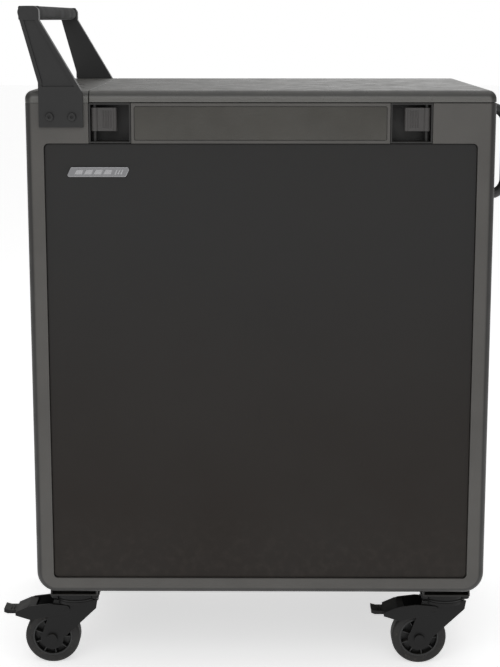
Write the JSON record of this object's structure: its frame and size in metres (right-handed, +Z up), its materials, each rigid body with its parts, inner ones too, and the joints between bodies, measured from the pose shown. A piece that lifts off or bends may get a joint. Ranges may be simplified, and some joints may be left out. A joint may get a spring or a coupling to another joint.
{
  "type": "tennis ball machine",
  "caption": "Closed rolling cabinet that throws tennis balls: hinged hopper lid, ball carousel, tilting and swinging two-wheel head, push handle and braked casters.",
  "frame": {"origin": "on the floor, under the middle of the cabinet's length and depth", "axes": "+Z up; +X the way the balls are thrown, away from the push handle; -Y the near side, with the latches and the badge"},
  "size_m": [0.714, 0.4665, 0.903],
  "materials": {
    "panel_paint": "fine-textured charcoal paint",
    "frame_grey": "satin dark grey moulding",
    "end_paint": "powder-coated dark grey sheet",
    "handle_metal": "satin charcoal enamel on a casting",
    "grip_black": "ribbed black grip",
    "grab_black": "black nylon-coated tube",
    "badge_silver": "brushed, with a bevelled edge",
    "bolt_black": "black oxide",
    "dish_black": "fine-grained black moulding",
    "paddle_grey": "satin dark grey moulding",
    "liner_grey": "pressed board",
    "hopper_grey": "vacuum-formed sheet",
    "carousel_white": "off-white moulding",
    "tube_grey": "extruded tube",
    "motor_steel": "zinc-plated",
    "motor_black": "black enamel can",
    "head_steel": "zinc-plated plate",
    "muzzle_black": "black moulding",
    "throw_rubber": "grey polyurethane tread",
    "hub_alloy": "cast and turned",
    "battery_case": "sealed battery case",
    "knob_black": "soft black knob with a pale pointer",
    "rocker_red": "glossy red key",
    "caster_steel": "black-coated pressed steel",
    "caster_rubber": "black rubber tread",
    "caster_core": "black nylon core",
    "pedal_black": "black-coated pressed steel"
  },
  "bodies": {
    "cabinet": {"base_pan": "end_paint", "front_end_panel": "end_paint", "rear_end_panel": "end_paint", "near_side_frame": "frame_grey", "far_side_frame": "frame_grey", "near_side_panel": "panel_paint", "far_side_panel": "panel_paint", "rear_top_cap": "frame_grey", "handle_arms": "handle_metal", "handle_bar": "grip_black", "handle_bolts": "bolt_black", "front_handle": "grab_black", "badge": "badge_silver", "hinge_leaves": "bolt_black", "latch_housings": "dish_black", "hopper_tub": "hopper_grey", "feed_gearmotor": "motor_steel", "drop_tube": "tube_grey", "turntable_base": "head_steel", "battery": "battery_case", "control_panel": "dish_black", "port_bezel": "dish_black", "caster_rails": "end_paint", "caster_plates": "caster_steel"},
    "lid": {"lid_shell": "frame_grey", "lid_liner": "liner_grey", "lid_hinge_leaves": "bolt_black"},
    "rear_latch": {"rear_latch_paddle": "paddle_grey"},
    "front_latch": {"front_latch_paddle": "paddle_grey"},
    "carousel": {"feed_carousel": "carousel_white"},
    "turntable": {"turntable_yoke": "head_steel", "elevation_gearmotor": "motor_steel"},
    "head": {"head_plates": "head_steel", "wheel_motors": "motor_black", "ball_scoop": "carousel_white", "muzzle": "muzzle_black"},
    "upper_wheel": {"upper_wheel_tyre": "throw_rubber", "upper_wheel_hub": "hub_alloy"},
    "lower_wheel": {"lower_wheel_tyre": "throw_rubber", "lower_wheel_hub": "hub_alloy"},
    "speed_dial": {"speed_knob": "knob_black"},
    "feed_dial": {"feed_knob": "knob_black"},
    "spin_dial": {"spin_knob": "knob_black"},
    "power_switch": {"power_rocker": "rocker_red"},
    "rear_near_swivel": {"rear_near_caster_fork": "caster_steel"},
    "rear_near_wheel": {"rear_near_caster_tyre": "caster_rubber", "rear_near_caster_core": "caster_core"},
    "rear_near_brake": {"rear_near_caster_pedal": "pedal_black"},
    "rear_far_swivel": {"rear_far_caster_fork": "caster_steel"},
    "rear_far_wheel": {"rear_far_caster_tyre": "caster_rubber", "rear_far_caster_core": "caster_core"},
    "rear_far_brake": {"rear_far_caster_pedal": "pedal_black"},
    "front_near_swivel": {"front_near_caster_fork": "caster_steel"},
    "front_near_wheel": {"front_near_caster_tyre": "caster_rubber", "front_near_caster_core": "caster_core"},
    "front_near_brake": {"front_near_caster_pedal": "pedal_black"},
    "front_far_swivel": {"front_far_caster_fork": "caster_steel"},
    "front_far_wheel": {"front_far_caster_tyre": "caster_rubber", "front_far_caster_core": "caster_core"},
    "front_far_brake": {"front_far_caster_pedal": "pedal_black"}
  },
  "joints": [
    {"name": "lid_hinge", "type": "hinge", "parent": "cabinet", "child": "lid", "pos_m": [0.042, 0.23, 0.7805], "axis": [-1, 0, 0], "range_deg": [0, 100]},
    {"name": "rear_latch_pivot", "type": "hinge", "parent": "cabinet", "child": "rear_latch", "pos_m": [-0.2146, -0.219, 0.759], "axis": [0, 0, -1], "range_deg": [0, 50], "stiffness_Nm_per_rad": 0.05},
    {"name": "front_latch_pivot", "type": "hinge", "parent": "cabinet", "child": "front_latch", "pos_m": [0.2146, -0.219, 0.759], "axis": [0, 0, 1], "range_deg": [0, 50], "stiffness_Nm_per_rad": 0.05},
    {"name": "carousel_spin", "type": "hinge", "parent": "cabinet", "child": "carousel", "pos_m": [-0.1245, 0, 0.67], "axis": [0, 0, 1], "continuous": true},
    {"name": "turntable_swing", "type": "hinge", "parent": "cabinet", "child": "turntable", "pos_m": [-0.0195, 0, 0.172], "axis": [0, 0, 1], "range_deg": [-12, 12]},
    {"name": "head_tilt", "type": "hinge", "parent": "turntable", "child": "head", "pos_m": [-0.0195, 0, 0.36], "axis": [0, -1, 0], "range_deg": [0, 25]},
    {"name": "upper_wheel_spin", "type": "hinge", "parent": "head", "child": "upper_wheel", "pos_m": [0.1705, 0, 0.461], "axis": [0, -1, 0], "continuous": true},
    {"name": "lower_wheel_spin", "type": "hinge", "parent": "head", "child": "lower_wheel", "pos_m": [0.1705, 0, 0.259], "axis": [0, 1, 0], "continuous": true},
    {"name": "speed_turn", "type": "hinge", "parent": "cabinet", "child": "speed_dial", "pos_m": [-0.315, -0.054, 0.576], "axis": [-1, 0, 0], "range_deg": [-135, 135]},
    {"name": "feed_turn", "type": "hinge", "parent": "cabinet", "child": "feed_dial", "pos_m": [-0.315, 0, 0.576], "axis": [-1, 0, 0], "range_deg": [-135, 135]},
    {"name": "spin_turn", "type": "hinge", "parent": "cabinet", "child": "spin_dial", "pos_m": [-0.315, 0.054, 0.576], "axis": [-1, 0, 0], "range_deg": [-135, 135]},
    {"name": "power_rock", "type": "hinge", "parent": "cabinet", "child": "power_switch", "pos_m": [-0.3065, 0.062, 0.53], "axis": [0, 1, 0], "range_deg": [0, 24]},
    {"name": "rear_near_swivel_turn", "type": "hinge", "parent": "cabinet", "child": "rear_near_swivel", "pos_m": [-0.256, -0.173, 0.094], "axis": [0, 0, 1], "continuous": true},
    {"name": "rear_near_wheel_roll", "type": "hinge", "parent": "rear_near_swivel", "child": "rear_near_wheel", "pos_m": [-0.29, -0.173, 0.038], "axis": [0, 1, 0], "continuous": true},
    {"name": "rear_near_brake_press", "type": "hinge", "parent": "rear_near_swivel", "child": "rear_near_brake", "pos_m": [-0.27, -0.173, 0.0815], "axis": [0, -1, 0], "range_deg": [0, 8]},
    {"name": "rear_far_swivel_turn", "type": "hinge", "parent": "cabinet", "child": "rear_far_swivel", "pos_m": [-0.256, 0.173, 0.094], "axis": [0, 0, 1], "continuous": true},
    {"name": "rear_far_wheel_roll", "type": "hinge", "parent": "rear_far_swivel", "child": "rear_far_wheel", "pos_m": [-0.29, 0.173, 0.038], "axis": [0, 1, 0], "continuous": true},
    {"name": "rear_far_brake_press", "type": "hinge", "parent": "rear_far_swivel", "child": "rear_far_brake", "pos_m": [-0.27, 0.173, 0.0815], "axis": [0, -1, 0], "range_deg": [0, 8]},
    {"name": "front_near_swivel_turn", "type": "hinge", "parent": "cabinet", "child": "front_near_swivel", "pos_m": [0.256, -0.173, 0.094], "axis": [0, 0, 1], "continuous": true},
    {"name": "front_near_wheel_roll", "type": "hinge", "parent": "front_near_swivel", "child": "front_near_wheel", "pos_m": [0.222, -0.173, 0.038], "axis": [0, 1, 0], "continuous": true},
    {"name": "front_near_brake_press", "type": "hinge", "parent": "front_near_swivel", "child": "front_near_brake", "pos_m": [0.242, -0.173, 0.0815], "axis": [0, -1, 0], "range_deg": [0, 8]},
    {"name": "front_far_swivel_turn", "type": "hinge", "parent": "cabinet", "child": "front_far_swivel", "pos_m": [0.256, 0.173, 0.094], "axis": [0, 0, 1], "continuous": true},
    {"name": "front_far_wheel_roll", "type": "hinge", "parent": "front_far_swivel", "child": "front_far_wheel", "pos_m": [0.222, 0.173, 0.038], "axis": [0, 1, 0], "continuous": true},
    {"name": "front_far_brake_press", "type": "hinge", "parent": "front_far_swivel", "child": "front_far_brake", "pos_m": [0.242, 0.173, 0.0815], "axis": [0, -1, 0], "range_deg": [0, 8]}
  ]
}
